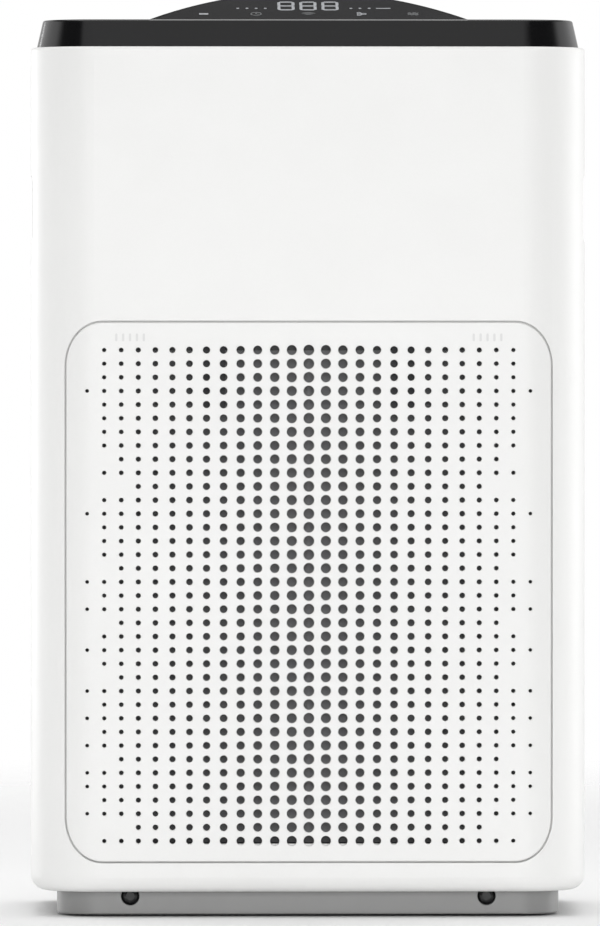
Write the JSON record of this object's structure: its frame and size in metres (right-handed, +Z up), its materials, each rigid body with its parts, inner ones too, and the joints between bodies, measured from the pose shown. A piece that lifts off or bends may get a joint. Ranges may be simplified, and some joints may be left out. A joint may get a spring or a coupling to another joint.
{
  "type": "air purifier",
  "caption": "Upright household air purifier: white casing, perforated tilting filter cover, black top with sloping touch console and outlet grille, grey plinth, centrifugal fan inside.",
  "frame": {"origin": "on the floor, under the middle of the casing", "axes": "+Z is up, the front panel faces -Y, and +X is to the right as seen from the front"},
  "size_m": [0.34, 0.2053, 0.5646],
  "materials": {
    "white_shell": "satin white, fine grain",
    "white_panel": "satin white",
    "black_gloss": "high-gloss black",
    "black_matte": "fine-textured black",
    "smoked_lens": "smoked, high gloss",
    "lit_white": "printed light grey, lit from behind",
    "grey_plinth": "satin grey",
    "grey_plastic": "moulded grey",
    "dark_plastic": "moulded dark grey",
    "rubber_black": "soft black rubber",
    "foam_black": "closed-cell foam",
    "mesh_grey": "woven nylon mesh",
    "pleat_white": "folded glass-fibre paper",
    "carbon_black": "carbon-loaded board",
    "ribbon": "woven ribbon",
    "steel": "turned and plated",
    "motor_paint": "dark enamel",
    "spring_steel": "drawn wire",
    "brass_pin": "plated contact",
    "board_green": "solder-masked board",
    "component": "moulded components",
    "lead_sheath": "PVC sheath",
    "stator_iron": "laminated iron with copper windings"
  },
  "bodies": {
    "root": {"front_housing": "white_shell", "rear_housing": "white_shell", "rear_screws": "steel", "left_handle_cup": "white_shell", "right_handle_cup": "white_shell", "left_latch_case": "dark_plastic", "right_latch_case": "dark_plastic", "left_latch_spring": "spring_steel", "right_latch_spring": "spring_steel", "door_switch": "dark_plastic", "filter_bay": "dark_plastic", "filter_seal": "foam_black", "filter_frame": "dark_plastic", "pre_filter": "mesh_grey", "pleated_filter": "pleat_white", "carbon_filter": "carbon_black", "pull_tabs": "ribbon", "inlet_guard": "black_matte", "scroll_housing": "grey_plastic", "scroll_cover": "grey_plastic", "motor_housing": "motor_paint", "stator_core": "stator_iron", "shaft_bearings": "steel", "motor_grommets": "rubber_black", "motor_screws": "steel", "outlet_duct": "grey_plastic", "top_bezel": "black_gloss", "outlet_grille": "black_matte", "display_lens": "smoked_lens", "led_digits": "lit_white", "indicator_marks": "lit_white", "touch_icons": "lit_white", "control_board": "board_green", "display_module": "component", "touch_springs": "spring_steel", "power_inlet": "black_matte", "inlet_pins": "brass_pin", "sensor_bracket": "dark_plastic", "dust_sensor": "black_matte", "power_board": "board_green", "board_parts": "component", "motor_lead": "lead_sheath", "display_lead": "lead_sheath", "mains_leads": "lead_sheath", "plinth": "grey_plinth", "front_caps": "black_gloss", "rubber_feet": "rubber_black", "base_screws": "steel"},
    "panel": {"front_panel": "white_panel", "panel_hooks": "white_panel", "panel_strikers": "white_panel", "push_marks": "white_panel"},
    "fan": {"fan_wheel": "dark_plastic", "motor_shaft": "steel", "wheel_nut": "steel", "rotor_magnet": "motor_paint"},
    "left_plunger": {"left_latch_plunger": "grey_plastic"},
    "right_plunger": {"right_latch_plunger": "grey_plastic"},
    "switch_pin": {"switch_plunger": "grey_plastic"},
    "sensor_flap": {"sensor_door": "white_shell"}
  },
  "joints": [
    {"name": "panel_tilt", "type": "hinge", "parent": "root", "child": "panel", "pos_m": [0, -0.101, 0.0359], "axis": [1, 0, 0], "range_deg": [0, 30]},
    {"name": "fan_spin", "type": "hinge", "parent": "root", "child": "fan", "pos_m": [-0.012, 0, 0.199], "axis": [0, 1, 0], "continuous": true},
    {"name": "left_latch_press", "type": "slide", "parent": "root", "child": "left_plunger", "axis": [0, 1, 0], "range_m": [0, 0.003], "stiffness_N_per_m": 300, "springref_m": -0.004, "deforming": ["left_latch_spring"]},
    {"name": "right_latch_press", "type": "slide", "parent": "root", "child": "right_plunger", "axis": [0, 1, 0], "range_m": [0, 0.003], "stiffness_N_per_m": 300, "springref_m": -0.004, "deforming": ["right_latch_spring"]},
    {"name": "switch_press", "type": "slide", "parent": "root", "child": "switch_pin", "axis": [0, 1, 0], "range_m": [0, 0.0008], "stiffness_N_per_m": 300, "springref_m": -0.001},
    {"name": "sensor_flap_hinge", "type": "hinge", "parent": "root", "child": "sensor_flap", "pos_m": [-0.092, 0.0995, 0.383], "axis": [-1, 0, 0], "range_deg": [0, 85]}
  ]
}
